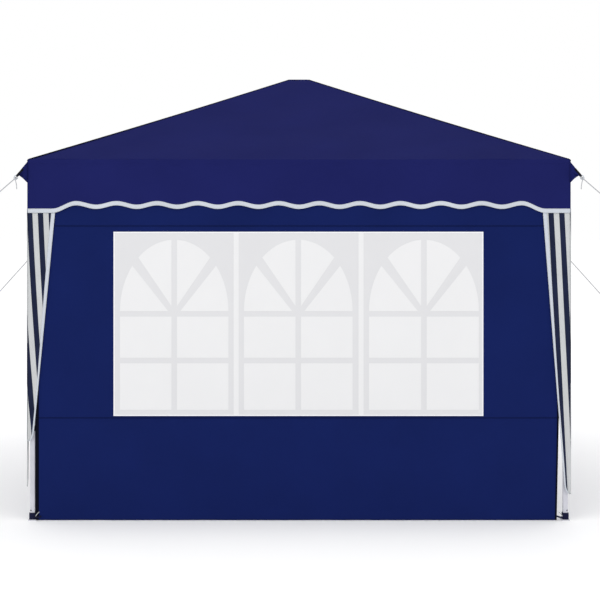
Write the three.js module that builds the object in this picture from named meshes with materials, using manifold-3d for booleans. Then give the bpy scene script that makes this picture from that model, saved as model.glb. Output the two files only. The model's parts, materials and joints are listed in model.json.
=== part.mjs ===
// Pop up canopy, 3 m square: a folding scissor frame on four telescopic legs, under a pyramid roof
// with a deep valance, one windowed wall and four guy ropes.
// Millimetres, +Z up. The origin is the centre of the footprint, on the ground. The wall faces -Y.
// Each side of the frame is the front side turned by a quarter, so most pieces are made once per side.
import * as THREE from "three";
import Module from "manifold-3d";
import { mergeVertices } from "three/addons/utils/BufferGeometryUtils.js";

const wasm = await Module();
wasm.setup();

// Driving dimensions
const ROOF_HALF = 1500; // centre to the outside of the valance
const EAVE_Z = 2000;
const PEAK_Z = 2560;
const VALANCE_BOTTOM_Z = 1700;
const LEG_CENTRE = 1475; // centre to leg axis, along x and along y
const UPPER_TUBE = 30;
const LOWER_TUBE = 25;
const TUBE_WALL = 1.5;
const UPPER_LEG_BOTTOM_Z = 500;
const LOWER_LEG_TOP_Z = 1300;
const FOOT_SIZE = 46;
const FOOT_THICKNESS = 6;

// Scissor linkage: every bar has the same length and the same slope
const PIVOT_OFFSET = 45; // from the centre of a connector to its pivots
const TOP_PIVOT_Z = 1945;
const OPEN_SLOPE = THREE.MathUtils.degToRad(11);
const BAR_SPAN = LEG_CENTRE - 2 * PIVOT_OFFSET;
const BAR_LENGTH = BAR_SPAN / Math.cos(OPEN_SLOPE);
const LOW_PIVOT_Z = TOP_PIVOT_Z - BAR_SPAN * Math.tan(OPEN_SLOPE);
const BAR_HEIGHT = 24;
const BAR_THICKNESS = 12;
const PLANE = 6.5; // a bar's middle plane, either side of the connector's middle
const PIN_RADIUS = 4;
const HOLE_RADIUS = 5;
const RIVET_HEAD_RADIUS = 8;
const HEAD_START = 12.9;
const HEAD_END = 15.4;
const ROUND_SIDES = 8;

// Connectors, brackets and sliders
const BLOCK_HALF = 15;
const BLOCK_HEIGHT = 40;
const HUB_HALF = 18;
const COLLAR_HALF = 19;
const LUG_ROOT = 16; // where a corner piece's lug starts, from the leg's axis
const BRACKET_BOTTOM_Z = 1915;
const BRACKET_TOP_Z = 1990;
const UPPER_TUBE_TOP_Z = 1980; // inside the bracket
const SLIDER_BORE = UPPER_TUBE + 1;
const SLIDER_ABOVE = 22;
const SLIDER_BELOW = 60;
const LATCH_DROP = 42; // latch button below the slider's pivots
const LATCH_RADIUS = 6;
const LATCH_BORE_RADIUS = 6.8;
const LATCH_START = 15.8; // clear of the leg's face
const LATCH_END = 32;

// Peak pole and its cap
const POLE_RADIUS = 9;
const POLE_BORE_RADIUS = 10.5;
const POLE_GAP = 0.5; // between the pole's foot and the lower hub
const CAP_HALF = 60;
const CAP_HEIGHT = 12;

// Fabric
const FABRIC = 4;
const SEAM_GAP = 0.6; // between neighbouring panels
const PANEL_GAP = 1; // between a roof panel and the peak cap
const DRAPE_TOP_Z = EAVE_Z - 1;
const WING_TOP_WIDTH = 155; // leg curtain under the valance
const WING_FOOT_WIDTH = 30;
const WING_BOTTOM_Z = 440;
const TAB_REACH = 50; // corner tab, beyond the roof corner along x and along y
const TAB_TIP_Z = 1908;
const TAB_LOW_Z = 1868;
const TAB_TOP_Z = EAVE_Z - 2;
const TAB_INSET = 3; // how far the tab is sewn in, behind the outside of the valance
const WALL_LEFT = -1450;
const WALL_RIGHT = 1430;
const WALL_TOP_Z = 1890;
const WALL_BOTTOM_Z = 12;
const WALL_THICKNESS = 3;
const WALL_FACE = 1495.4; // centre to the outside of the wall

// Guy ropes, each from the tip of a corner tab outwards and down
const ROPE_DIAMETER = 6;
const ROPE_SIDES = 8;
const ROPE_START = 1553; // centre to the rope's first point, along x and along y
const ROPE_START_Z = 1896;
const FRONT_ROPE_REACH = 150;
const BACK_ROPE_REACH = 790;
const ROPE_STEP = 80;
const ROPE_DRIFT = 0.12; // forwards or backwards, for each unit sideways
const ROPE_FALL = { front: 0.88, back: 1.09 }; // down, for each unit sideways

const material = (color, roughness, metalness) =>
  new THREE.MeshStandardMaterial({ color, roughness, metalness });
const materials = {
  paintedSteel: material(0xe1e1e6, 0.45, 0.2),
  bracketPlastic: material(0x2a2c33, 0.55, 0),
  navyFabric: material(0x20245e, 0.85, 0),
  wallFabric: material(0x162056, 0.85, 0),
  rope: material(0xc9cbd0, 0.9, 0),
};

// Boolean work: three.js geometry to a solid and back
function solid(geometry) {
  const bare = geometry.index ? geometry.toNonIndexed() : geometry.clone();
  bare.deleteAttribute("normal");
  bare.deleteAttribute("uv");
  const merged = mergeVertices(bare, 1e-4);
  return new wasm.Manifold(new wasm.Mesh({
    numProp: 3,
    vertProperties: new Float32Array(merged.attributes.position.array),
    triVerts: new Uint32Array(merged.index.array),
  }));
}

function geometryOf(body) {
  const mesh = body.getMesh();
  const geometry = new THREE.BufferGeometry();
  geometry.setAttribute("position", new THREE.BufferAttribute(mesh.vertProperties, 3));
  geometry.setIndex(new THREE.BufferAttribute(mesh.triVerts, 1));
  const flat = geometry.toNonIndexed();
  flat.computeVertexNormals();
  return flat;
}

// Basic shapes
function box(x0, x1, y0, y1, z0, z1) {
  const geometry = new THREE.BoxGeometry(x1 - x0, y1 - y0, z1 - z0);
  return solid(geometry.translate((x0 + x1) / 2, (y0 + y1) / 2, (z0 + z1) / 2));
}

// A round bar along local y, as pins, rivets and their holes are
function pin(radius, x, y0, y1, z) {
  const [low, high] = [Math.min(y0, y1), Math.max(y0, y1)];
  const geometry = new THREE.CylinderGeometry(radius, radius, high - low, ROUND_SIDES);
  return solid(geometry.translate(x, (low + high) / 2, z));
}

function uprightCylinder(radius, z0, z1) {
  const geometry = new THREE.CylinderGeometry(radius, radius, z1 - z0, ROUND_SIDES);
  return solid(geometry.rotateX(Math.PI / 2).translate(0, 0, (z0 + z1) / 2));
}

// A flat outline in x and z, made thick along y
function plate(points, y0, y1) {
  const outline = new THREE.Shape(points.map(([x, z]) => new THREE.Vector2(x, z)));
  const geometry = new THREE.ExtrudeGeometry(outline, { depth: y1 - y0, bevelEnabled: false });
  return solid(geometry.rotateX(Math.PI / 2).translate(0, y1, 0));
}

// A flat bar with round ends, from x0 to x1 along x
function roundBar(x0, x1, radius, y0, y1, z) {
  const outline = new THREE.Shape();
  outline.absarc(x1, z, radius, -Math.PI / 2, Math.PI / 2, false);
  outline.absarc(x0, z, radius, Math.PI / 2, Math.PI * 1.5, false);
  const geometry = new THREE.ExtrudeGeometry(outline, {
    depth: y1 - y0, bevelEnabled: false, curveSegments: ROUND_SIDES / 2,
  });
  return solid(geometry.rotateX(Math.PI / 2).translate(0, y1, 0));
}

function squareTube(size, wall, z0, z1) {
  const [outer, inner] = [size / 2, size / 2 - wall];
  const bore = box(-inner, inner, -inner, inner, z0 - 1, z1 + 1);
  return box(-outer, outer, -outer, outer, z0, z1).subtract(bore);
}

// Scissor bar, along +x from its first pivot; rivetSide is the side of its neighbour at the crossing
// for a bar that carries the rivet, and 0 for a bar that has the hole
function scissorBar(rivetSide) {
  const half = BAR_THICKNESS / 2;
  let bar = roundBar(0, BAR_LENGTH, BAR_HEIGHT / 2, -half, half, 0);
  for (const x of [0, BAR_LENGTH]) {
    bar = bar.subtract(pin(HOLE_RADIUS, x, -half - 1, half + 1, 0));
  }
  const middle = BAR_LENGTH / 2;
  if (rivetSide === 0) {
    return bar.subtract(pin(HOLE_RADIUS, middle, -half - 1, half + 1, 0));
  }
  const shank = pin(PIN_RADIUS, middle, 0, rivetSide * (PLANE + HEAD_END), 0);
  const head = pin(
    RIVET_HEAD_RADIUS, middle, rivetSide * (PLANE + HEAD_START), rivetSide * (PLANE + HEAD_END), 0);
  return bar.add(shank).add(head);
}

// Lug that carries a bar's end: it points along local +x, and barSide says which plane the bar is in
function lug(turn, barSide, root) {
  const half = BAR_HEIGHT / 2;
  const [near, far] = [PLANE - BAR_THICKNESS / 2, PLANE + BAR_THICKNESS / 2];
  const y0 = barSide > 0 ? -far : near;
  const y1 = barSide > 0 ? -near : far;
  return roundBar(root, PIVOT_OFFSET, half, y0, y1, 0)
    .add(pin(PIN_RADIUS, PIVOT_OFFSET, -barSide * PLANE, barSide * HEAD_END, 0))
    .add(pin(RIVET_HEAD_RADIUS, PIVOT_OFFSET, barSide * HEAD_START, barSide * HEAD_END, 0))
    .rotate([0, 0, turn]);
}

// Names of the sides and corners, in the order of quarter turns from the front
const SIDES = ["front", "right", "back", "left"];
const CORNERS = ["front_left", "front_right", "back_right", "back_left"];

const canopy = new THREE.Group();

// Adds a solid that is drawn for the front side, turned to side k
function addPart(name, body, slot, k = 0) {
  const mesh = new THREE.Mesh(geometryOf(body), materials[slot]);
  mesh.name = name;
  mesh.rotation.z = k * Math.PI / 2;
  canopy.add(mesh);
}

// Places a scissor bar in the front side's upright plane: from its first pivot towards its second
function placeSideBar(bar, x, z, direction, slopeSign, plane) {
  const slope = THREE.MathUtils.radToDeg(OPEN_SLOPE) * slopeSign;
  const turned = direction > 0 ? bar : bar.rotate([0, 0, 180]);
  return turned.rotate([0, slope * direction, 0]).translate([x, -LEG_CENTRE + plane, z]);
}

// The middle connector of a side: lugs to both sides and one to the hub
function middleConnector(z, leftPlane, rightPlane, inwardPlane) {
  const half = BLOCK_HALF;
  return box(-half, half, -half, half, -BLOCK_HEIGHT / 2, BLOCK_HEIGHT / 2)
    .add(lug(0, rightPlane, 0))
    .add(lug(180, -leftPlane, 0))
    .add(lug(90, -inwardPlane, 0))
    .translate([0, -LEG_CENTRE, z]);
}

function hub(z, barPlane) {
  const half = HUB_HALF;
  let body = box(-half, half, -half, half, -BLOCK_HEIGHT / 2, BLOCK_HEIGHT / 2);
  for (let k = 0; k < 4; k += 1) {
    body = body.add(lug(-90 + 90 * k, barPlane, half));
  }
  return body.translate([0, 0, z]);
}

// Lugs of a corner piece: the next side's bar runs along +y, the front side's bar along +x
function cornerLugs(frontPlane, nextPlane) {
  return lug(0, frontPlane, LUG_ROOT).add(lug(90, nextPlane, LUG_ROOT));
}

function upperLeg() {
  const tube = squareTube(UPPER_TUBE, TUBE_WALL, UPPER_LEG_BOTTOM_Z, UPPER_TUBE_TOP_Z);
  const c = COLLAR_HALF;
  const bracket = box(-c, c, -c, c, BRACKET_BOTTOM_Z, BRACKET_TOP_Z);
  const lugs = cornerLugs(-1, -1).translate([0, 0, TOP_PIVOT_Z]);
  return tube.add(bracket).add(lugs).translate([-LEG_CENTRE, -LEG_CENTRE, 0]);
}

function lowerLeg() {
  const f = FOOT_SIZE / 2;
  return squareTube(LOWER_TUBE, TUBE_WALL, FOOT_THICKNESS - 1, LOWER_LEG_TOP_Z)
    .add(box(-f, f, -f, f, 0, FOOT_THICKNESS))
    .translate([-LEG_CENTRE, -LEG_CENTRE, 0]);
}

function slider() {
  const [c, b] = [COLLAR_HALF, SLIDER_BORE / 2];
  const latchBore = pin(LATCH_BORE_RADIUS, 0, b - 1, c + 1, -LATCH_DROP).rotate([0, 0, -90]);
  return box(-c, c, -c, c, -SLIDER_BELOW, SLIDER_ABOVE)
    .add(cornerLugs(1, 1))
    .subtract(box(-b, b, -b, b, -SLIDER_BELOW - 1, SLIDER_ABOVE + 1))
    .subtract(latchBore)
    .translate([-LEG_CENTRE, -LEG_CENTRE, LOW_PIVOT_Z]);
}

function sliderLatch() {
  return pin(LATCH_RADIUS, 0, LATCH_START, LATCH_END, -LATCH_DROP)
    .rotate([0, 0, -90])
    .translate([-LEG_CENTRE, -LEG_CENTRE, LOW_PIVOT_Z]);
}

// A corner tab, standing out along the diagonal from the front side's first corner
function cornerTab() {
  const root = (ROOF_HALF - TAB_INSET) * Math.SQRT2;
  const tip = (ROOF_HALF + TAB_REACH) * Math.SQRT2;
  const outline = [[root, TAB_LOW_Z], [tip, TAB_TIP_Z], [root, TAB_TOP_Z]];
  return plate(outline, -FABRIC / 2, FABRIC / 2)
    .rotate([0, 0, -135])
    .translate([FABRIC, 0, 0]);
}

// One side of the roof with its valance and leg curtains, and with a tab at each end or with none
function canopySide(hasTabs) {
  const roofStart = CAP_HALF + PANEL_GAP;
  const section = [
    [roofStart, PEAK_Z], [ROOF_HALF, EAVE_Z],
    [ROOF_HALF, EAVE_Z - FABRIC], [roofStart, PEAK_Z - FABRIC],
  ];
  const positions = [];
  const corner = ([out, z], side) => positions.push(side * (out - SEAM_GAP), -out, z);
  const face = (...corners) => corners.forEach(([i, side]) => corner(section[i], side));
  for (let i = 0; i < section.length; i += 1) {
    const j = (i + 1) % section.length;
    face([i, -1], [j, -1], [j, 1]);
    face([i, -1], [j, 1], [i, 1]);
  }
  face([0, -1], [2, -1], [1, -1]);
  face([0, -1], [3, -1], [2, -1]);
  face([0, 1], [1, 1], [2, 1]);
  face([0, 1], [2, 1], [3, 1]);
  const roof = new THREE.BufferGeometry();
  roof.setAttribute("position", new THREE.Float32BufferAttribute(positions, 3));

  const edge = ROOF_HALF - FABRIC - SEAM_GAP;
  const drape = [
    [-edge, DRAPE_TOP_Z], [-edge, WING_BOTTOM_Z], [-edge + WING_FOOT_WIDTH, WING_BOTTOM_Z],
    [-edge + WING_TOP_WIDTH, VALANCE_BOTTOM_Z], [edge - WING_TOP_WIDTH, VALANCE_BOTTOM_Z],
    [edge - WING_FOOT_WIDTH, WING_BOTTOM_Z], [edge, WING_BOTTOM_Z], [edge, DRAPE_TOP_Z],
  ];
  const side = solid(roof).add(plate(drape, -ROOF_HALF, -ROOF_HALF + FABRIC));
  if (!hasTabs) {
    return side;
  }
  const tab = cornerTab();
  return side.add(tab).add(tab.mirror([1, 0, 0]));
}

// Guy rope: a straight taut tube from a tab outwards and down
function rope(signX, signY) {
  const place = signY < 0 ? "front" : "back";
  const reach = signY < 0 ? FRONT_ROPE_REACH : BACK_ROPE_REACH;
  const start = new THREE.Vector3(signX * ROPE_START, signY * ROPE_START, ROPE_START_Z);
  const step = new THREE.Vector3(signX, signY * ROPE_DRIFT, -ROPE_FALL[place]).multiplyScalar(reach);
  const circle = new THREE.Shape();
  circle.absarc(0, 0, ROPE_DIAMETER / 2, 0, Math.PI * 2, false);
  return solid(new THREE.ExtrudeGeometry(circle, {
    steps: Math.ceil(reach / ROPE_STEP),
    curveSegments: ROPE_SIDES / 2,
    extrudePath: new THREE.LineCurve3(start, start.clone().add(step)),
  }));
}

// Frame, one side at a time
for (let k = 0; k < 4; k += 1) {
  const [side, corner] = [SIDES[k], CORNERS[k]];
  const legPivot = -LEG_CENTRE + PIVOT_OFFSET;
  // First half: the leg bar is in the outer plane, the slider bar in the inner one
  addPart(`${side}_first_leg_bar`,
    placeSideBar(scissorBar(1), legPivot, TOP_PIVOT_Z, 1, 1, -PLANE), "paintedSteel", k);
  addPart(`${side}_first_slider_bar`,
    placeSideBar(scissorBar(0), -PIVOT_OFFSET, TOP_PIVOT_Z, -1, 1, PLANE), "paintedSteel", k);
  // Second half: the planes change over, so that two bars never meet at a connector
  addPart(`${side}_second_leg_bar`,
    placeSideBar(scissorBar(1), -legPivot, TOP_PIVOT_Z, -1, 1, PLANE), "paintedSteel", k);
  addPart(`${side}_second_slider_bar`,
    placeSideBar(scissorBar(0), PIVOT_OFFSET, TOP_PIVOT_Z, 1, 1, -PLANE), "paintedSteel", k);

  // Truss from the top hub to the lower connector, and from the lower hub to the upper connector
  const slope = THREE.MathUtils.radToDeg(OPEN_SLOPE);
  const hubBar = scissorBar(-1).rotate([0, slope, -90]).translate([PLANE, -PIVOT_OFFSET, TOP_PIVOT_Z]);
  const lowBar = scissorBar(0).rotate([0, -slope, -90]).translate([-PLANE, -PIVOT_OFFSET, LOW_PIVOT_Z]);
  addPart(`${side}_hub_bar`, hubBar, "paintedSteel", k);
  addPart(`${side}_low_bar`, lowBar, "paintedSteel", k);
  addPart(`${side}_upper_connector`, middleConnector(TOP_PIVOT_Z, 1, -1, -1), "bracketPlastic", k);
  addPart(`${side}_lower_connector`, middleConnector(LOW_PIVOT_Z, -1, 1, 1), "bracketPlastic", k);

  addPart(`upper_leg_${corner}`, upperLeg(), "paintedSteel", k);
  addPart(`lower_leg_${corner}`, lowerLeg(), "paintedSteel", k);
  addPart(`slider_${corner}`, slider(), "bracketPlastic", k);
  addPart(`slider_latch_${corner}`, sliderLatch(), "bracketPlastic", k);
  addPart(`canopy_${side}`, canopySide(k % 2 === 0), "navyFabric", k);
}

const poleBore = uprightCylinder(
  POLE_BORE_RADIUS, TOP_PIVOT_Z - BLOCK_HEIGHT, TOP_PIVOT_Z + BLOCK_HEIGHT);
addPart("top_hub", hub(TOP_PIVOT_Z, 1).subtract(poleBore), "bracketPlastic");
addPart("lower_hub", hub(LOW_PIVOT_Z, -1), "bracketPlastic");

const poleBottom = LOW_PIVOT_Z + BLOCK_HEIGHT / 2 + POLE_GAP;
const cap = box(-CAP_HALF, CAP_HALF, -CAP_HALF, CAP_HALF, PEAK_Z - CAP_HEIGHT, PEAK_Z);
addPart("peak_pole", uprightCylinder(POLE_RADIUS, poleBottom, PEAK_Z - 1).add(cap), "paintedSteel");

const wallInside = -WALL_FACE + WALL_THICKNESS;
const frontWall = box(WALL_LEFT, WALL_RIGHT, -WALL_FACE, wallInside, WALL_BOTTOM_Z, WALL_TOP_Z);
addPart("front_wall", frontWall, "wallFabric");

for (const [end, signY] of [["front", -1], ["back", 1]]) {
  addPart(`guy_rope_${end}_left`, rope(-1, signY), "rope");
  addPart(`guy_rope_${end}_right`, rope(1, signY), "rope");
}

export default canopy;
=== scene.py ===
"""Pop up canopy: fabric, trim, ropes, materials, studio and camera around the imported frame.

Everything is in metres, in the model's frame: +Z up, the windowed wall faces -Y.
Each side of the canopy is drawn as the front side and turned by quarter turns.
"""
import json
import math

import bpy
from mathutils import Euler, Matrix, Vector


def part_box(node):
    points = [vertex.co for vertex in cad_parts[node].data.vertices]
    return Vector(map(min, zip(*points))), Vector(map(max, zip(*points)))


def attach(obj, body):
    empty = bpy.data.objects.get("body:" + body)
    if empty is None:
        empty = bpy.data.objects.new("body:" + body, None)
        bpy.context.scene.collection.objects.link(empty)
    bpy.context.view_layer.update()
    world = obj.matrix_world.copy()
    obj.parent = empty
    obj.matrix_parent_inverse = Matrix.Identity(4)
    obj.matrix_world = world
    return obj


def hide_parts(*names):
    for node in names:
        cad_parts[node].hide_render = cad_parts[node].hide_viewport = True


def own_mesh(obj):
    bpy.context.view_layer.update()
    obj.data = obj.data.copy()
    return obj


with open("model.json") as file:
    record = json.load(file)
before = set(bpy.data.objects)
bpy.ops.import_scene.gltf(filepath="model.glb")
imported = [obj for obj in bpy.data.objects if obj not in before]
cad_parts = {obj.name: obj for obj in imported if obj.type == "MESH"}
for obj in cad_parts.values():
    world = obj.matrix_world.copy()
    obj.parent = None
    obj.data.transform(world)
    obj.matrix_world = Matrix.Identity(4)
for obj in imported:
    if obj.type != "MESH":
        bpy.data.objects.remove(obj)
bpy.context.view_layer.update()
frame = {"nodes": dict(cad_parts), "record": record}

SIDES = ["front", "right", "back", "left"]
CORNERS = ["front_left", "front_right", "back_right", "back_left"]
CORNER_SIGNS = [(-1, -1), (1, -1), (1, 1), (-1, 1)]
TAB_SIDES = ["front", "front", "back", "back"]  # the roof side that each corner's tab is on

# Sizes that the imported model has
EAVE_Z = 1.995
EAVE_ROUND = 0.006
EAVE_TOP_Z = EAVE_Z + 0.0036  # where the roof's fabric turns over into the valance
ROOF_HALF = 1.5
PEAK_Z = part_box("peak_pole")[1][2]
CAP_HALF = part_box("peak_pole")[1][0]
LEG_CENTRE = 1.475
LOWER_LEG_FACE = 0.0122  # from the leg's centre, just inside the tube's outer face
UPPER_LEG_FACE = 0.0147
ROPE_START = 1.553
ROPE_START_Z = 1.896
ROPE_DIAMETER = 0.006
ROPE_DRIFT = 0.12
FRONT_ROPE = {"reach": 0.150, "fall": 0.88}
BACK_ROPE = {"reach": 0.790, "fall": 1.09}

# Thicknesses of sheets
CLOTH = 0.0012
THIN_CLOTH = 0.001
TAPE = 0.0006
FILM = 0.0005

# Roof and valance
ROOF_START = 0.0012  # from the cap's edge to the roof's upper edge
ROOF_STOP = 0.0025  # from the roof's lower edge to the valance's plane
ROOF_LIFT = 0.0015  # how far the fabric lies above the plane from cap to eave
ROOF_SAG = 0.013
HIP_SAG = 0.005
HIP_INSET = 0.004  # from the cap's edge to the piping and the flaps
ROOF_PULL = 0.0022  # height of the tension creases beside the hips
ROOF_RIPPLE = 0.0016
PIPING_RADIUS = 0.0034
PATCH_LAP = 0.005
PATCH_TOP = 0.0045
PATCH_ROUND = 0.003
SKIRT_OUT = 0.0014
SKIRT_TOP = 0.001
SKIRT_BOTTOM = 0.030
VALANCE_OUT = 1.5012
VALANCE_RIPPLE = 0.0022
VALANCE_FREE = 0.24  # the drop over which the ripple grows to its full depth
VALANCE_CORNER = 0.15  # the length over which it fades out at a corner
VALANCE_SEAM = 0.0012
SEAM_Z = 1.978
TRIM_WIDTH = 0.024
TRIM_RAISE = 0.0010
TRIM_ROLL = 0.0008
TRIM_APART = 0.0034  # from the outer binding to the inner one
WAVE_PITCH = 0.224
WAVE_HEIGHT = 0.010
WAVE_Z = 1.734
LAST_CREST = 1.232
CORNER_FLAT = 1.362
CORNER_EDGE_Z = 1.702

# Leg curtains and seam flaps
DRAPE_TOP_Z = 1.722
DRAPE_OUT = 1.4986
DRAPE_TOP_WIDTH = 0.155
DRAPE_FOOT_WIDTH = 0.034
DRAPE_EDGE = ROOF_HALF + 0.003
DRAPE_FOLD = 0.0045
DRAPE_TIP = 0.05  # height of the rounded tip at the foot
DRAPE_LEAST = 0.012
BINDING_LOW = 0.0085
BINDING_GROWTH = 0.0125
BINDING_GROWTH_Z = 0.6
BINDING_SCALE = 0.026
BINDING_RAISE = 0.0016
SHORT_DRAPE_Z = 0.440
LONG_DRAPES = {("front", False): 0.150, ("left", False): 0.190}  # by side and left end or not
STRIPE_PITCH = 0.0595
STRIPE_LEANS = {  # by left end or not: shift at the valance, per metre down, per square metre
    True: (0.0, -0.0427, -0.0218),
    False: (-0.0359, 0.050, 0.0),
}
FLAP_WIDTH = 0.155  # a hip's seam flap, at the cap; it narrows to nothing at the eave
FLAP_UNDER = 0.008  # how far a flap's free edge lies below the neighbour's panel
FLAP_STOP = 0.026  # from the flap's lower end to the valance's plane

# Front wall and window
WALL_BODY = "front_upper_connector"
WALL_Y = -1.4948
WALL_LEFT = -1.4585
WALL_TOP_Z = 1.90
WALL_BOTTOM_Z = 0.004
WALL_RIGHT_FOOT = 1.4245
WALL_RIGHT_LEAN = 0.022
WALL_SEAMS = (0.569, 1.630)
SEAM_RAISE = 0.0010
HEM_TOP_Z = 0.034
HEM_RAISE = 0.0008
# Width of the near-black strips at the wall's ends: partly the wall's hem edge, partly painted shade
# from the corner curtains
EDGE_HEM_SHADE_WIDTH = 0.020
WINDOW = {"left": -1.025, "right": 1.019, "low": 0.580, "high": 1.598}
WINDOW_LIFT = 0.0022  # the film in front of the wall's middle plane
PANE_LIFT = 0.0006  # panes and bands in front of the film
EDGE_LIFT = 0.0007
WINDOW_EDGE = 0.0065
BAND_HALF = 0.014
BAND_CENTRES = (-0.347, 0.343)
ARCHES = [(-0.989, -0.390), (-0.304, 0.296), (0.387, 0.994)]
ARCH_MARGIN_LOW = 0.034
ARCH_MARGIN_HIGH = 0.044
ARCH_SPRING = 0.546  # above an arched window's foot
ARCH_SECOND_BAR = 0.257
ARCH_BAR = 0.031
FAN_SPLIT = math.radians(44)
FAN_GAP = 0.16
FAN_ASIDE = 0.034
FAN_RISE = 0.028

# Corner tabs, as distances out along x and y, and heights
TAB_OUTLINE = [(1.4985, 1.986), (1.5215, 1.953), (1.547, 1.914), (1.552, 1.905), (1.545, 1.902),
               (1.540, 1.909), (1.520, 1.893), (1.4985, 1.868)]
TAB_CENTRE = (1.508, 1.93)
TAB_THICKNESS = 0.003
TAB_WEBBING = [(1.522, 1.944), (1.538, 1.922), (1.551, 1.904)]
RING_CENTRE = (1.5535, 1.8975)
RING_RADIUS = 0.011
RING_WIRE = 0.0026

# Rope ends
HOOK_ROOM = 0.035
HOOK_SHANK = 0.022
HOOK_BEND = 0.009
HOOK_WIRE = 0.0022
TAIL_DROP = 0.058
TAIL_DRIFT = 0.010
TAIL_THICKNESS = 0.8  # of the rope's

# Feet and small fittings
STRAP_HALF = 0.0170
STRAP_LOW_Z = 0.0055
STRAP_HIGH_Z = 0.043
TIE_RADIUS = 0.0048
TIE_CORD_RADIUS = 0.0022
RIVET_Z = 0.056
BUTTON_Z = 0.545
SLEEVE_HALF = 0.0166
SLEEVE_LOW_Z = 0.497
SLEEVE_HIGH_Z = 0.527

# Camera
CAMERA_DISTANCE = 8.0
CAMERA_HEIGHT = 1.75
FOCAL_PER_METRE = 181.0 / 600  # share of the picture's width that a metre takes at the front
SENSOR = 36.0
PICTURE_MIDDLE_Z = 1.221  # height at the front that is in the picture's middle
CAMERA_SIDE_SHIFT = 0.0017

# Studio
FLOOR_HALF = 60.0
LAMP_AIM = (0, 0, 1.2)
LAMPS = {  # place, width and power
    "key": ((-4.5, -9.0, 7.0), 6.0, 120.0),
    "fill": ((6.0, -8.0, 4.5), 7.0, 50.0),
    "back": ((2.0, 8.5, 7.5), 6.0, 90.0),
}

# Looks of woven cloth
THREADS = 900.0
WEAVE_DEPTH = 0.0002
NOISE_BAND = (0.3, 0.7)  # the part of a noise's range that patches stretch from 0 to 1


def linear(red, green, blue):
    """A colour given as display values from 0 to 255, as the shaders want it."""
    def channel(value):
        share = value / 255
        return share / 12.92 if share <= 0.04045 else ((share + 0.055) / 1.055) ** 2.4
    return (channel(red), channel(green), channel(blue), 1.0)


def turned(k, point):
    """A point of the front side, moved to side k."""
    x, y, z = point
    for _ in range(k):
        x, y = -y, x
    return (x, y, z)


def spread(low, high, count):
    """Evenly spaced numbers from low to high."""
    return [low + (high - low) * i / (count - 1) for i in range(count)]


def smooth(share):
    """A share from 0 to 1 that eases in and out."""
    share = min(max(share, 0.0), 1.0)
    return share * share * (3 - 2 * share)


# ---------------------------------------------------------------- materials

class Shader:
    """A material's node tree, with short calls for the nodes used here."""

    def __init__(self, name, color, roughness, metallic=0.0):
        self.material = bpy.data.materials.new(name)
        self.material.use_nodes = True
        self.nodes = self.material.node_tree.nodes
        self.links = self.material.node_tree.links
        self.principled = self.nodes["Principled BSDF"]
        self.set("Base Color", color)
        self.set("Roughness", roughness)
        self.set("Metallic", metallic)

    def set(self, socket, value):
        self.principled.inputs[socket].default_value = value

    def node(self, kind, **values):
        made = self.nodes.new(kind)
        for key, value in values.items():
            setattr(made, key, value)
        return made

    def link(self, source, target):
        self.links.new(source, target)

    def cloth_place(self):
        """The cloth's own coordinates along its threads, in metres."""
        return self.node("ShaderNodeUVMap", uv_map="UVMap").outputs["UV"]

    def object_place(self):
        return self.node("ShaderNodeTexCoord").outputs["Object"]

    def noise(self, vector, scale, detail=3.0):
        made = self.node("ShaderNodeTexNoise")
        made.inputs["Scale"].default_value = scale
        made.inputs["Detail"].default_value = detail
        self.link(vector, made.inputs["Vector"])
        return made.outputs["Fac"]

    def wave(self, vector, scale, direction):
        made = self.node("ShaderNodeTexWave", bands_direction=direction)
        made.inputs["Scale"].default_value = scale
        self.link(vector, made.inputs["Vector"])
        return made.outputs["Fac"]

    def math(self, operation, *values):
        made = self.node("ShaderNodeMath", operation=operation)
        for socket, value in zip(made.inputs, values):
            if isinstance(value, (int, float)):
                socket.default_value = value
            else:
                self.link(value, socket)
        return made.outputs[0]

    def mix(self, share, first, second):
        made = self.node("ShaderNodeMix", data_type="RGBA")
        self.link(share, made.inputs["Factor"])
        for socket, value in ((made.inputs["A"], first), (made.inputs["B"], second)):
            if isinstance(value, tuple):
                socket.default_value = value
            else:
                self.link(value, socket)
        return made.outputs["Result"]

    def ramp(self, value, low, high):
        """value, stretched so that low becomes 0 and high becomes 1."""
        made = self.node("ShaderNodeMapRange")
        made.inputs["From Min"].default_value = low
        made.inputs["From Max"].default_value = high
        self.link(value, made.inputs["Value"])
        return made.outputs["Result"]

    def patches(self, vector, scale, detail=3.0):
        """Soft patches from 0 to 1."""
        return self.ramp(self.noise(vector, scale, detail), *NOISE_BAND)

    def weave(self, vector):
        across, along = (self.wave(vector, THREADS, direction) for direction in "XY")
        return self.math("MULTIPLY", across, along)

    def bump(self, height, strength, distance, after=None):
        made = self.node("ShaderNodeBump")
        made.inputs["Strength"].default_value = strength
        made.inputs["Distance"].default_value = distance
        self.link(height, made.inputs["Height"])
        if after is not None:
            self.link(after, made.inputs["Normal"])
        return made.outputs["Normal"]

    def color(self, source):
        self.link(source, self.principled.inputs["Base Color"])

    def roughness(self, source):
        self.link(source, self.principled.inputs["Roughness"])

    def normal(self, source):
        self.link(source, self.principled.inputs["Normal"])


def scaled(color, factor):
    return (*(min(channel * factor, 1.0) for channel in color[:3]), 1.0)


def cloth(name, color, roughness=0.82, sheen=0.0, specular=0.05):
    """Weave, soft creases and slight colour changes, on the cloth's own coordinates."""
    shader = Shader(name, color, roughness)
    vector = shader.cloth_place()
    patches = shader.patches(vector, 2.2, 4.0)
    shader.color(shader.mix(patches, scaled(color, 0.93), scaled(color, 1.07)))
    fine = shader.patches(vector, 60.0, 2.0)
    shader.roughness(shader.math("MULTIPLY_ADD", fine, 0.08, roughness - 0.04))
    creased = shader.bump(shader.noise(vector, 5.0), 0.35, 0.004)
    shader.normal(shader.bump(shader.weave(vector), 0.25, WEAVE_DEPTH, creased))
    shader.set("Sheen Weight", sheen)
    shader.set("Sheen Roughness", 0.5)
    shader.set("Specular IOR Level", specular)
    return shader.material


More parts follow.
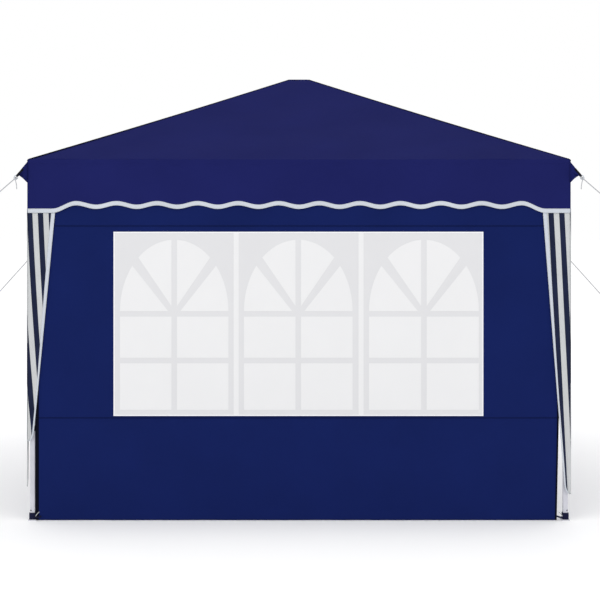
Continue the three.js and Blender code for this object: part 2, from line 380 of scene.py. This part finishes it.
def striped_cloth(name, dark, pale):
    """Woven bands across the first cloth coordinate, half of each pitch dark."""
    shader = Shader(name, dark, 0.8)
    vector = shader.cloth_place()
    parts = shader.node("ShaderNodeSeparateXYZ")
    shader.link(vector, parts.inputs[0])
    phase = shader.math("DIVIDE", parts.outputs["X"], STRIPE_PITCH)
    pale_band = shader.ramp(shader.math("FRACT", phase), 0.49, 0.52)
    patches = shader.patches(vector, 9.0)
    dark_part = shader.mix(patches, scaled(dark, 0.85), scaled(dark, 1.2))
    pale_part = shader.mix(patches, scaled(pale, 0.93), pale)
    shader.color(shader.mix(pale_band, dark_part, pale_part))
    creased = shader.bump(shader.noise(vector, 14.0), 0.4, 0.003)
    shader.normal(shader.bump(shader.weave(vector), 0.25, WEAVE_DEPTH, creased))
    shader.set("Specular IOR Level", 0.08)
    return shader.material


def film(name, color):
    """Frosted window film: slightly glossy, with faint waviness."""
    shader = Shader(name, color, 0.38)
    vector = shader.cloth_place()
    cloudy = shader.patches(vector, 3.0, 2.0)
    shader.color(shader.mix(cloudy, scaled(color, 0.985), color))
    shader.normal(shader.bump(shader.noise(vector, 6.0, 2.0), 0.2, 0.002))
    shader.set("Specular IOR Level", 0.4)
    return shader.material


def coated_steel(name, color):
    """Powder coat: fine orange peel and faint rubbing marks."""
    shader = Shader(name, color, 0.4)
    vector = shader.object_place()
    rubbed = shader.ramp(shader.noise(vector, 14.0, 5.0), 0.35, 0.75)
    shader.color(shader.mix(rubbed, scaled(color, 0.9), color))
    shader.roughness(shader.ramp(shader.noise(vector, 30.0, 3.0), -0.9, 1.6))
    shader.normal(shader.bump(shader.noise(vector, 900.0, 2.0), 0.15, 0.0003))
    shader.set("Coat Weight", 0.15)
    return shader.material


def moulded(name, color):
    """Moulded nylon: fine grain and slightly worn, paler patches."""
    shader = Shader(name, color, 0.5)
    vector = shader.object_place()
    worn = shader.ramp(shader.noise(vector, 40.0, 4.0), 0.5, 0.85)
    shader.color(shader.mix(worn, color, scaled(color, 1.8)))
    shader.normal(shader.bump(shader.noise(vector, 1500.0, 2.0), 0.3, 0.0003))
    return shader.material


def braided(name, color):
    """Cord and webbing: a braid of slanted strands."""
    shader = Shader(name, color, 0.85)
    vector = shader.object_place()
    strands = shader.wave(vector, 260.0, "DIAGONAL")
    shader.color(shader.mix(strands, scaled(color, 0.75), color))
    shader.normal(shader.bump(strands, 0.5, 0.0006))
    shader.set("Specular IOR Level", 0.2)
    return shader.material


def zinc(name):
    shader = Shader(name, (0.62, 0.62, 0.64, 1), 0.3, 1.0)
    vector = shader.object_place()
    shader.roughness(shader.ramp(shader.noise(vector, 80.0, 3.0), -0.4, 1.8))
    return shader.material


MATERIALS = {
    "navy_canopy": cloth("navy_canopy", linear(28, 32, 87), 0.9, specular=0.02),
    "navy_wall": cloth("navy_wall", linear(17, 30, 84)),
    # Near-black edge strips: partly the wall's hem edge, partly painted shade where the corner
    # curtains shade the wall
    "wall_edge_painted_shade": cloth("wall_edge_painted_shade", linear(9, 10, 24)),
    "wall_seam": cloth("wall_seam", linear(12, 23, 69)),
    "white_trim": cloth("white_trim", linear(195, 200, 208), 0.85, 0.05, 0.2),
    "stripe_fabric": striped_cloth("stripe_fabric", linear(28, 34, 58), linear(195, 197, 198)),
    "window_film": film("window_film", linear(214, 214, 216)),
    "window_pane": film("window_pane", linear(226, 226, 227)),
    "window_edge": film("window_edge", linear(236, 236, 240)),
    "white_tube": coated_steel("white_tube", linear(208, 208, 217)),
    "bracket_plastic": moulded("bracket_plastic", linear(45, 47, 54)),
    "guy_rope": braided("guy_rope", linear(190, 191, 195)),
    "webbing": braided("webbing", linear(16, 16, 28)),
    "strap": braided("strap", linear(17, 20, 54)),
    "steel_trim": zinc("steel_trim"),
}


# ---------------------------------------------------------------- geometry

def piece(name, points, faces, material, body, uvs=None, thickness=0.0, soft=True):
    """Makes a mesh object, with its thickness inwards, and rides it on a body."""
    mesh = bpy.data.meshes.new(name)
    mesh.from_pydata([tuple(p) for p in points], [], faces)
    if uvs is not None:
        layer = mesh.uv_layers.new(name="UVMap")
        for loop in mesh.loops:
            layer.data[loop.index].uv = uvs[loop.vertex_index]
    mesh.update()
    for polygon in mesh.polygons:
        polygon.use_smooth = soft
    made = bpy.data.objects.new(name, mesh)
    bpy.context.scene.collection.objects.link(made)
    made.data.materials.append(MATERIALS[material])
    if thickness:
        solidify = made.modifiers.new("thickness", "SOLIDIFY")
        solidify.thickness = thickness
        solidify.offset = -1
    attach(made, body)
    return made


def surface(name, point, us, vs, k, material, body, uv, thickness=CLOTH, flip=False):
    """A sheet over a grid of us and vs; point gives the front side's place, and k turns it."""
    points = [turned(k, point(u, v)) for v in vs for u in us]
    coordinates = [uv(u, v) for v in vs for u in us]
    faces = []
    for j in range(len(vs) - 1):
        for i in range(len(us) - 1):
            a = j * len(us) + i
            corners = (a, a + 1, a + len(us) + 1, a + len(us))
            faces.append(corners[::-1] if flip else corners)
    return piece(name, points, faces, material, body, coordinates, thickness)


def tube(name, path, radius, material, body, sides=8, closed=False):
    """A round tube along a path of points, with flat ends."""
    path = [Vector(p) for p in path]
    count = len(path)
    points, faces = [], []
    normal = None
    for i, place in enumerate(path):
        after = path[(i + 1) % count] if closed or i + 1 < count else place
        before = path[i - 1] if closed or i > 0 else place
        along = (after - before).normalized()
        if normal is None:
            normal = along.orthogonal().normalized()
        normal = (normal - along * normal.dot(along)).normalized()
        across = along.cross(normal)
        for s in range(sides):
            angle = 2 * math.pi * s / sides
            points.append(place + (normal * math.cos(angle) + across * math.sin(angle)) * radius)
    for i in range(count if closed else count - 1):
        j = (i + 1) % count
        for s in range(sides):
            t = (s + 1) % sides
            faces.append((i * sides + s, i * sides + t, j * sides + t, j * sides + s))
    if not closed:
        faces.append(tuple(range(sides))[::-1])
        faces.append(tuple((count - 1) * sides + s for s in range(sides)))
    return piece(name, points, faces, material, body)


def flatten(made):
    """Gives a piece its own copy of its mesh."""
    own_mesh(made)


# ---------------------------------------------------------------- roof

SLANT = math.hypot(ROOF_HALF - CAP_HALF, PEAK_Z - EAVE_Z)


def roof_height(out):
    """The height of the straight line from cap to eave."""
    share = (out - CAP_HALF) / (ROOF_HALF - CAP_HALF)
    return PEAK_Z + (EAVE_Z - PEAK_Z) * share


def roof_point(across, share):
    """across runs from -1 to 1 between the hips, share from the peak to the eave."""
    out = CAP_HALF + ROOF_START + (ROOF_HALF - CAP_HALF - ROOF_START - ROOF_STOP) * share
    middle = 1 - across * across
    sag = (ROOF_SAG * middle + HIP_SAG) * math.sin(math.pi * share)
    pull = ROOF_PULL * math.sin(across * 23 + share * 3) * abs(across) ** 3
    pull *= smooth(share * 1.4 - 0.4)
    ripple = ROOF_RIPPLE * math.sin(share * 17 + across * 4) * middle
    return (across * out, -out, roof_height(out) + ROOF_LIFT - sag + pull + ripple)


def hip_height(out):
    """The height of the fabric along a hip, which dips in the middle."""
    share = (out - CAP_HALF) / (ROOF_HALF - CAP_HALF)
    return roof_height(out) + ROOF_LIFT - HIP_SAG * math.sin(math.pi * min(share, 1.0))


def roof_side(k):
    side = SIDES[k]
    shares = sorted(spread(0, 1, 44) + [0.985, 0.993])
    roof = surface(f"roof_{side}", roof_point, spread(-1, 1, 61), shares, k, "navy_canopy",
                   f"canopy_{side}", flip=True,
                   uv=lambda u, v: (u * ROOF_HALF * (0.04 + 0.96 * v), v * SLANT))
    flatten(roof)
    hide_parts(f"canopy_{side}")
    outs = spread(CAP_HALF + HIP_INSET, ROOF_HALF - 0.008, 26)
    hip = [(-out, -out, hip_height(out)) for out in outs]
    hip += [(-ROOF_HALF + 0.003, -ROOF_HALF + 0.003, EAVE_Z + ROOF_LIFT),
            (-ROOF_HALF - 0.0005, -ROOF_HALF - 0.0005, EAVE_Z - 0.005)]
    piping = tube(f"hip_piping_{CORNERS[k]}", [turned(k, point) for point in hip], PIPING_RADIUS,
                  "webbing", f"canopy_{side}", sides=6)
    flatten(piping)


def seam_flap(k, left):
    """A hip's seam flap, which lies under the neighbour's panel and closes the hip when folded."""
    sign = -1 if left else 1
    side = SIDES[k]

    def place(aside, share):
        out = CAP_HALF + HIP_INSET + (ROOF_HALF - CAP_HALF - HIP_INSET - FLAP_STOP) * share
        x = out + HIP_INSET + (FLAP_WIDTH * (1 - share) + 0.002) * aside
        below = 0.35 * FLAP_UNDER + 0.4 * FLAP_UNDER * max(smooth(3 * share), aside)
        below += 0.25 * FLAP_UNDER * aside
        return (sign * x, -out, hip_height(x) - below)

    flap = surface(f"seam_flap_{side}_{'left' if left else 'right'}", place, spread(0, 1, 6),
                   spread(0, 1, 30), k, "navy_canopy", f"canopy_{side}",
                   flip=not left, uv=lambda u, v: (u * FLAP_WIDTH, v * SLANT))
    flatten(flap)


def peak_patch():
    """The small reinforced square at the top, lapping over the cap's edge, and its skirt."""
    half = CAP_HALF + PATCH_LAP
    steps = spread(-1, 1, 15)

    def place(u, v):
        edge = max(abs(u), abs(v))
        return (u * half, v * half, PEAK_Z + PATCH_TOP - PATCH_ROUND * edge ** 6)

    patch = surface("peak_patch", place, steps, steps, 0, "navy_canopy",
                    "peak_pole", uv=lambda u, v: (u * half, v * half))
    band("peak_skirt", (0, 0), CAP_HALF + SKIRT_OUT, PEAK_Z - SKIRT_BOTTOM, PEAK_Z - SKIRT_TOP,
         "navy_canopy", "peak_pole")


# ---------------------------------------------------------------- valance

def edge_height(x):
    """The height of the valance's wavy lower edge."""
    distance = abs(x)
    wave = WAVE_Z - WAVE_HEIGHT * math.cos(2 * math.pi * distance / WAVE_PITCH)
    if distance <= LAST_CREST:
        return wave
    crest = WAVE_Z + WAVE_HEIGHT
    share = smooth((distance - LAST_CREST) / (CORNER_FLAT - LAST_CREST))
    return crest + (CORNER_EDGE_Z - crest) * share


def valance_out(x, z):
    """How far out the valance hangs: a soft ripple that grows towards the lower edge."""
    low = smooth((SEAM_Z - z) / VALANCE_FREE)
    corner = smooth((ROOF_HALF - abs(x)) / VALANCE_CORNER)
    ripple = VALANCE_RIPPLE * (1 + math.sin(x * math.pi / WAVE_PITCH + 0.7 * math.sin(3 * x)))
    seam = VALANCE_SEAM if abs(z - SEAM_Z) < 0.0035 else 0.0
    rounded = min(max(0.0, 1 - (EAVE_TOP_Z - z) / EAVE_ROUND), 1.0)
    bend = EAVE_ROUND * (1 - math.sqrt(1 - rounded * rounded))
    return VALANCE_OUT + low * corner * ripple + seam - bend


def valance_side(k):
    side = SIDES[k]
    columns = spread(-ROOF_HALF, ROOF_HALF, 241)
    rows = [0, 0.003, 0.008, 0.014, 0.023, 0.05, 0.058, 0.063, 0.078, 0.083, 0.09]
    rows += spread(0.16, 1, 12)

    def place(x, share):
        z = EAVE_TOP_Z + (edge_height(x) - EAVE_TOP_Z) * share
        return (x, -valance_out(x, z), z)

    def trim(x, share):
        z = edge_height(x) + TRIM_WIDTH * share
        roll = TRIM_ROLL * math.sin(math.pi * share)
        return (x, -valance_out(x, z) - TRIM_RAISE - roll, z)

    def inner(x, share):
        x, y, z = trim(x, share)
        return (x, y + TRIM_APART, z)

    height = EAVE_Z - WAVE_Z
    body = f"canopy_{side}"
    valance = surface(f"valance_{side}", place, columns, rows, k, "navy_canopy",
                      body, flip=True, uv=lambda u, v: (u, v * height))
    taped = [surface(f"valance_trim{end}_{side}", point, columns, spread(0, 1, count), k, "white_trim",
                     body, uv=lambda u, v: (u, v * TRIM_WIDTH))
             for end, point, count in (("", trim, 5), ("_inner", inner, 3))]
    for made in [valance] + taped:
        flatten(made)


# ---------------------------------------------------------------- leg curtains

def drape_width(z, low_z):
    """How wide a leg curtain is at a height: it tapers down to the foot."""
    share = (CORNER_EDGE_Z - z) / (CORNER_EDGE_Z - low_z)
    return DRAPE_TOP_WIDTH + (DRAPE_FOOT_WIDTH - DRAPE_TOP_WIDTH) * share


def stripe_shift(left, drop):
    """How far the stripes have leaned towards the side's right end, at a drop below the valance."""
    start, lean, bend = STRIPE_LEANS[left]
    return start + lean * drop + bend * drop * drop


def leg_curtain(k, left, low_z):
    """One face of a corner's curtain, on side k; left says which end of that side."""
    sign = -1 if left else 1
    corner = CORNERS[k] if left else CORNERS[(k + 1) % 4]
    name = f"{SIDES[k]}_{'left' if left else 'right'}"
    body = f"leg_{corner}"
    height = DRAPE_TOP_Z - low_z

    def width(z):
        tip = 1 - (1 - min((z - low_z) / DRAPE_TIP, 1.0)) ** 2
        rounding = 0.25 + 0.75 * math.sqrt(max(tip, 0.0))
        return max(drape_width(z, low_z), DRAPE_LEAST) * rounding

    def out(z, share):
        free = smooth((1.70 - z) / 0.25)
        fold = 0.5 - 0.5 * math.cos(share * 2 * math.pi * 1.5 + 2.0 * z)
        return DRAPE_OUT + DRAPE_FOLD * free * fold * min(share * 4, 1.0)

    def height_at(v):
        return DRAPE_TOP_Z - height * v

    def place(u, v):
        z = height_at(v)
        return (sign * (DRAPE_EDGE - width(z) * u), -out(z, u), z)

    def binding_width(z):
        grown = BINDING_LOW + BINDING_GROWTH * smooth(z - BINDING_GROWTH_Z)
        return min(grown, width(z) * 0.6)

    def binding(u, v):
        z = height_at(v)
        inside = DRAPE_EDGE - width(z) + binding_width(z) * u
        share = 1 - binding_width(z) * u / width(z)
        return (sign * inside, -out(z, share) - BINDING_RAISE, z)

    def stripes(u, v):
        z = height_at(v)
        return (width(z) * u + stripe_shift(left, CORNER_EDGE_Z - z) + STRIPE_PITCH, z)

    rows = spread(0, 0.96, 46) + spread(0.965, 1, 8)
    drape = surface(f"leg_curtain_{name}", place, spread(0, 1, 15), rows, k, "stripe_fabric",
                    body, flip=not left, uv=stripes, thickness=THIN_CLOTH)
    strip = surface(f"leg_curtain_binding_{name}", binding, spread(0, 1, 4), rows, k, "white_trim",
                   body, flip=left, uv=lambda u, v: (u * BINDING_SCALE, height_at(v)))
    for made in (drape, strip):
        flatten(made)

    def area(width_at):
        widths = [width_at(height_at(v)) for v in spread(0, 1, 21)]
        return sum(widths) / len(widths) * height

    area(width)
    area(binding_width)


# ---------------------------------------------------------------- front wall and window

def wall_right(z):
    """Where the wall's right edge is: it leans out with height."""
    return WALL_RIGHT_FOOT + WALL_RIGHT_LEAN * z


def wall_y(x, z):
    """How far out the wall hangs, with its faint waves, seams and hem."""
    loose = smooth((WALL_TOP_Z - z) / 0.4)
    wave = 0.0008 * math.sin(9 * x + 1.3 * z) + 0.0005 * math.sin(21 * x - 2 * z)
    seam = sum(SEAM_RAISE for height in WALL_SEAMS if abs(z - height) < 0.004)
    hem = HEM_RAISE if z < HEM_TOP_Z else 0.0
    return WALL_Y + loose * wave - seam - hem


def front_wall():
    rows = spread(WALL_BOTTOM_Z, HEM_TOP_Z - 0.002, 3)
    rows += spread(HEM_TOP_Z + 0.002, WALL_TOP_Z, 60)
    for height in WALL_SEAMS:
        rows += [height - 0.0055, height - 0.0035, height + 0.0035, height + 0.0055]
    rows.sort()

    def place(share, z):
        x = WALL_LEFT + (wall_right(z) - WALL_LEFT) * share
        return (x, wall_y(x, z), z)

    def seam(share, z):
        x, y, _ = place(share, z)
        return (x, y - 0.0007, z)

    def left_hem_shade(share, z):
        x = WALL_LEFT + EDGE_HEM_SHADE_WIDTH * share
        return (x, wall_y(x, z) - 0.0008, z)

    def right_hem_shade(share, z):
        x = wall_right(z) - EDGE_HEM_SHADE_WIDTH / 2 * share
        return (x, wall_y(x, z) - 0.0008, z)

    width = wall_right(1.0) - WALL_LEFT
    wall = surface("wall_fabric", place, spread(0, 1, 181), rows, 0, "navy_wall",
                   WALL_BODY, thickness=THIN_CLOTH, uv=lambda u, v: (u * width, v))
    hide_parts("front_wall")
    height = WALL_TOP_Z - WALL_BOTTOM_Z
    flatten(wall)
    for level, height_z in zip(("low", "high"), WALL_SEAMS):
        seam_rows = spread(height_z - 0.0045, height_z + 0.0045, 3)
        stitched = surface(f"wall_seam_{level}", seam, spread(0, 1, 91), seam_rows, 0, "wall_seam",
                           WALL_BODY, thickness=TAPE,
                           uv=lambda u, v: (u * width, v))
        flatten(stitched)
    # The near-black strips at both ends are partly the wall's hem edge and partly painted shade from
    # the corner curtains.
    hem_shade_strips = (("left", left_hem_shade, EDGE_HEM_SHADE_WIDTH), ("right", right_hem_shade, EDGE_HEM_SHADE_WIDTH / 2))
    for end, point, strip_width in hem_shade_strips:
        strip = surface(f"wall_edge_painted_shade_{end}", point, spread(0, 1, 3), rows, 0, "wall_edge_painted_shade",
                       WALL_BODY, thickness=TAPE, flip=end == "right",
                       uv=lambda u, v: (u * EDGE_HEM_SHADE_WIDTH, v))
        flatten(strip)


def window_part(name, outlines, material, lift):
    """Flat film shapes on the wall, from outlines of (x, z), as one object."""
    points, faces, uvs = [], [], []
    for outline in outlines:
        start = len(points)
        for x, z in outline:
            points.append((x, WALL_Y - WINDOW_LIFT - lift, z))
            uvs.append((x, z))
        faces.append(tuple(range(start, start + len(outline))))
    made = piece(name, points, faces, material, WALL_BODY, uvs, FILM, soft=False)
    flatten(made)
    return made


def arch_panes(left, right, low, high):
    """The panes of one arched window: a fan of four over two rows of two."""
    middle, half = (left + right) / 2, (right - left) / 2
    spring = low + ARCH_SPRING
    second_bar = low + ARCH_SECOND_BAR
    rise = high - spring
    top = math.pi / 2 - math.asin(ARCH_BAR / 2 / half)

    def arc(side, start, end, count):
        return [(middle + side * half * math.cos(angle), spring + rise * math.sin(angle))
                for angle in spread(start, end, count)]

    panes = []
    for side in (-1, 1):
        near, far = middle + side * ARCH_BAR / 2, middle + side * half
        for z0, z1 in ((low, second_bar), (second_bar + ARCH_BAR, spring - ARCH_BAR)):
            corners = [(near, z0), (far, z0), (far, z1), (near, z1)]
            panes.append(corners if side > 0 else corners[::-1])
        outer = [(middle + side * FAN_ASIDE, spring)] + arc(side, 0, FAN_SPLIT - FAN_GAP / 2, 10)
        upper = [(near, spring + FAN_RISE)] + arc(side, FAN_SPLIT + FAN_GAP / 2, top, 12)
        panes += [outer[::side], upper[::side]]
    return panes


def rectangle(left, right, low, high):
    return [(left, low), (right, low), (right, high), (left, high)]


def window():
    left, right, low, high = (WINDOW[side] for side in ("left", "right", "low", "high"))
    base = window_part("window_film", [rectangle(left, right, low, high)], "window_film", 0.0)
    panes = [pane for start, end in ARCHES
             for pane in arch_panes(start, end, low + ARCH_MARGIN_LOW, high - ARCH_MARGIN_HIGH)]
    window_part("window_panes", panes, "window_pane", PANE_LIFT)
    inner_low, inner_high = low + WINDOW_EDGE, high - WINDOW_EDGE
    frame_strips = [
        rectangle(left, right, low, inner_low),
        rectangle(left, right, inner_high, high),
        rectangle(left, left + WINDOW_EDGE, inner_low, inner_high),
        rectangle(right - WINDOW_EDGE, right, inner_low, inner_high),
    ]
    window_part("window_edge", frame_strips, "window_edge", EDGE_LIFT)
    bands = [rectangle(x - BAND_HALF, x + BAND_HALF, inner_low, inner_high) for x in BAND_CENTRES]
    window_part("window_bands", bands, "window_pane", PANE_LIFT)


# ---------------------------------------------------------------- corner tabs and guy ropes

def along_diagonal(k, out, z):
    """A point on the outward diagonal of corner k, out along x and y."""
    sx, sy = CORNER_SIGNS[k]
    return (sx * out, sy * out, z)


def corner_tab(k):
    """The gusset at an eave's corner, with its webbing and its ring."""
    corner = CORNERS[k]
    points = [along_diagonal(k, *place) for place in [TAB_CENTRE] + TAB_OUTLINE]
    count = len(TAB_OUTLINE)
    faces = [(0, i + 1, (i + 1) % count + 1) for i in range(count)]
    uvs = [(point[0], point[2]) for point in points]
    body = f"canopy_{TAB_SIDES[k]}"
    tab = piece(f"corner_tab_{corner}", points, faces, "navy_canopy", body, uvs,
                TAB_THICKNESS)
    webbing = [along_diagonal(k, *place) for place in TAB_WEBBING]
    strap = tube(f"tab_webbing_{corner}", webbing, 0.006, "webbing", body)
    ring_middle = Vector(along_diagonal(k, *RING_CENTRE))
    sx, sy = CORNER_SIGNS[k]
    flat = Vector((sx, sy, 0)).normalized() * RING_RADIUS
    ring = [ring_middle + flat * math.cos(a) + Vector((0, 0, RING_RADIUS * math.sin(a)))
            for a in spread(0, 2 * math.pi, 25)[:-1]]
    loop = tube(f"tab_ring_{corner}", ring, RING_WIRE, "white_trim", body, closed=True)
    for made in (tab, strap, loop):
        flatten(made)


def knot(name, middle, size, body):
    """A small overhand knot."""
    path = []
    for angle in spread(0, 2 * math.pi, 61)[:-1]:
        path.append(Vector(middle) + size * Vector((
            math.sin(angle) + 2 * math.sin(2 * angle), -math.sin(3 * angle) * 0.9,
            math.cos(angle) - 2 * math.cos(2 * angle))))
    return tube(name, path, ROPE_DIAMETER * 0.45, "guy_rope", body, closed=True)


def rope_hook(name, end, direction, body):
    """A steel hook at the rope's far end: a straight shank and a round bend."""
    along = Vector(direction).normalized()
    side = along.cross(Vector((0, 1, 0))).normalized()
    start = Vector(end) - along * 0.004
    shank = [start + along * reach for reach in spread(0, HOOK_SHANK, 4)]
    middle = shank[-1] + side * HOOK_BEND
    bend = [middle - side * HOOK_BEND * math.cos(a) + along * HOOK_BEND * math.sin(a)
            for a in spread(0.25, math.pi * 1.15, 12)]
    return tube(name, shank + bend, HOOK_WIRE, "steel_trim", body)


def guy_rope(k):
    """A taut rope with its knot, its tail and the hook at its far end."""
    corner = CORNERS[k]
    sx, sy = CORNER_SIGNS[k]
    run = FRONT_ROPE if sy < 0 else BACK_ROPE
    body = f"canopy_{TAB_SIDES[k]}"
    start = Vector((sx * ROPE_START, sy * ROPE_START, ROPE_START_Z))
    step = Vector((sx, sy * ROPE_DRIFT, -run["fall"])) * run["reach"]
    hook_room = step.normalized() * HOOK_ROOM
    points = [start + (step - hook_room) * share for share in spread(0, 1, 18)]
    rope = tube(f"rope_{corner}", points, ROPE_DIAMETER / 2, "guy_rope", body, sides=12)
    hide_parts(f"guy_rope_{corner}")
    tied = knot(f"rope_knot_{corner}", start + step.normalized() * 0.006, 0.0026, body)
    hook = rope_hook(f"rope_hook_{corner}", points[-1], step, body)
    tail_start = start + step.normalized() * 0.008
    tail = [tail_start + Vector((-sx * TAIL_DRIFT * (1 - (1 - s) ** 2), 0, -TAIL_DROP * s))
            for s in spread(0, 1, 12)]
    tail_diameter = ROPE_DIAMETER * TAIL_THICKNESS
    loose = tube(f"rope_tail_{corner}", tail, tail_diameter / 2, "guy_rope", body,
                 sides=12)
    for made in (rope, tied, hook, loose):
        flatten(made)


# ---------------------------------------------------------------- feet and small fittings

def rounded_square(half, radius, count=5):
    """Points of a rounded square, anticlockwise."""
    points = []
    for quarter in range(4):
        start = quarter * math.pi / 2
        cx = (half - radius) * (1 if quarter in (0, 3) else -1)
        cy = (half - radius) * (1 if quarter in (0, 1) else -1)
        points += [(cx + radius * math.cos(start + a), cy + radius * math.sin(start + a))
                   for a in spread(0, math.pi / 2, count)]
    return points


def band(name, centre, half, low, high, material, body):
    """A strap wound round a square leg."""
    ring = rounded_square(half, 0.004)
    count = len(ring)
    heights = spread(low, high, 5)
    points, faces, uvs = [], [], []
    for j, z in enumerate(heights):
        bulge = 1 + 0.05 * math.sin(math.pi * j / (len(heights) - 1))
        points += [(centre[0] + x * bulge, centre[1] + y * bulge, z) for x, y in ring]
        uvs += [(i / count * 8 * half, z) for i in range(count)]
    for j in range(len(heights) - 1):
        for i in range(count):
            a, b = j * count + i, j * count + (i + 1) % count
            faces.append((a, b, b + count, a + count))
    return piece(name, points, faces, material, body, uvs, CLOTH)


def foot_ties():
    """The wall's corners are tied round the front feet."""
    for k in (0, 1):
        corner = CORNERS[k]
        sx, sy = CORNER_SIGNS[k]
        body = f"lower_leg_{corner}"
        centre = (sx * LEG_CENTRE, sy * LEG_CENTRE)
        band(f"foot_strap_{corner}", centre, STRAP_HALF, STRAP_LOW_Z, STRAP_HIGH_Z, "strap",
             body)
        inner = centre[0] - sx * 0.016
        strap = [(inner, sy * LEG_CENTRE - 0.0175, 0.018), (inner - sx * 0.016, -1.4965, 0.020),
                 (inner - sx * 0.034, -1.4975, 0.026)]
        tube(f"foot_tie_{corner}", strap, TIE_RADIUS, "strap", body)
        white = [(inner - sx * 0.003, -1.4995, 0.026), (inner - sx * 0.013, -1.5010, 0.040),
                 (inner - sx * 0.024, -1.4990, 0.050)]
        tube(f"foot_cord_{corner}", white, TIE_CORD_RADIUS, "guy_rope", body, sides=6)


def dome(name, centre, outwards, radius, height, material, body):
    """A round button or rivet head on a flat face."""
    axis = Vector(outwards).normalized()
    first = axis.orthogonal().normalized()
    second = axis.cross(first)
    points, faces = [Vector(centre) + axis * height], []
    rings, sides = 4, 16
    for ring in range(1, rings + 1):
        angle = math.pi / 2 * ring / rings
        for s in range(sides):
            turn = 2 * math.pi * s / sides
            reach = radius * math.sin(angle)
            points.append(Vector(centre) + axis * height * math.cos(angle)
                          + (first * math.cos(turn) + second * math.sin(turn)) * reach)
    for s in range(sides):
        faces.append((0, 1 + s, 1 + (s + 1) % sides))
    for ring in range(rings - 1):
        for s in range(sides):
            a = 1 + ring * sides + s
            b = 1 + ring * sides + (s + 1) % sides
            faces.append((a, a + sides, b + sides, b))
    last = 1 + (rings - 1) * sides
    faces.append(tuple(last + s for s in range(sides))[::-1])
    return piece(name, points, faces, material, body)


def leg_fittings(k):
    """Rivets on the foot, the button that locks the leg's length, and the sleeve."""
    corner = CORNERS[k]
    sx, sy = CORNER_SIGNS[k]
    lower = f"lower_leg_{corner}"
    upper = f"leg_{corner}"
    side_rivet = (sx * (LEG_CENTRE + LOWER_LEG_FACE), sy * LEG_CENTRE, RIVET_Z)
    face_rivet = (sx * (LEG_CENTRE + 0.0082), sy * (LEG_CENTRE + LOWER_LEG_FACE), RIVET_Z)
    button = (sx * (LEG_CENTRE - UPPER_LEG_FACE), sy * LEG_CENTRE, BUTTON_Z)
    dome(f"foot_rivet_{corner}", side_rivet, (sx, 0, 0), 0.006, 0.0035, "bracket_plastic",
         lower)
    dome(f"foot_rivet_face_{corner}", face_rivet, (0, sy, 0), 0.0042, 0.002, "bracket_plastic",
         lower)
    dome(f"length_button_{corner}", button, (-sx, 0, 0), 0.005, 0.005, "steel_trim",
         upper)
    band(f"leg_sleeve_{corner}", (sx * LEG_CENTRE, sy * LEG_CENTRE), SLEEVE_HALF, SLEEVE_LOW_Z,
         SLEEVE_HIGH_Z, "bracket_plastic", upper)


# ---------------------------------------------------------------- frame, studio, camera

def finish_frame_nodes():
    """Gives every CAD node the material of its slot."""
    slots = {part["node"]: part["material_slot"] for part in frame["record"]["subparts"]}
    for name, node in frame["nodes"].items():
        chosen = MATERIALS[slots[name]]
        for place in node.material_slots:
            place.link = "OBJECT"
            place.material = chosen


def studio():
    bpy.context.scene.view_settings.view_transform = "Standard"
    mesh = bpy.data.meshes.new("floor")
    corners = [(sx * FLOOR_HALF, sy * FLOOR_HALF, 0) for sx, sy in CORNER_SIGNS]
    mesh.from_pydata(corners, [], [(0, 1, 2, 3)])
    floor = bpy.data.objects.new("floor", mesh)
    bpy.context.scene.collection.objects.link(floor)
    shader = Shader("studio_floor", (0.96, 0.96, 0.965, 1), 0.95)
    shader.set("Specular IOR Level", 0.0)
    shader.set("Emission Color", (1, 1, 1, 1))
    shader.set("Emission Strength", 0.10)
    floor.data.materials.append(shader.material)

    world = bpy.data.worlds.new("studio")
    world.use_nodes = True
    background = world.node_tree.nodes["Background"]
    background.inputs["Color"].default_value = (1, 1, 1, 1)
    background.inputs["Strength"].default_value = 1.0
    bpy.context.scene.world = world

    for name, (place, size, energy) in LAMPS.items():
        lamp = bpy.data.lights.new(name, "AREA")
        lamp.energy = energy
        lamp.size = size
        holder = bpy.data.objects.new(name, lamp)
        holder.location = place
        aim = Vector(LAMP_AIM) - Vector(place)
        holder.rotation_euler = aim.to_track_quat("-Z", "Y").to_euler()
        bpy.context.scene.collection.objects.link(holder)


def camera():
    data = bpy.data.cameras.new("camera")
    data.sensor_width = SENSOR
    data.lens = SENSOR * FOCAL_PER_METRE * CAMERA_DISTANCE
    data.shift_y = -(CAMERA_HEIGHT - PICTURE_MIDDLE_Z) * FOCAL_PER_METRE
    data.shift_x = CAMERA_SIDE_SHIFT
    data.clip_end = 200
    made = bpy.data.objects.new("camera", data)
    made.location = (0, -ROOF_HALF - CAMERA_DISTANCE, CAMERA_HEIGHT)
    made.rotation_euler = Euler((math.pi / 2, 0, 0))
    bpy.context.scene.collection.objects.link(made)
    bpy.context.scene.camera = made


camera()
for corner_index in range(4):
    guy_rope(corner_index)
for side_index in range(4):
    roof_side(side_index)
    valance_side(side_index)
    for at_left in (True, False):
        foot_z = LONG_DRAPES.get((SIDES[side_index], at_left), SHORT_DRAPE_Z)
        leg_curtain(side_index, at_left, foot_z)
        seam_flap(side_index, at_left)
    corner_tab(side_index)
    leg_fittings(side_index)
peak_patch()
front_wall()
window()
foot_ties()
finish_frame_nodes()
studio()
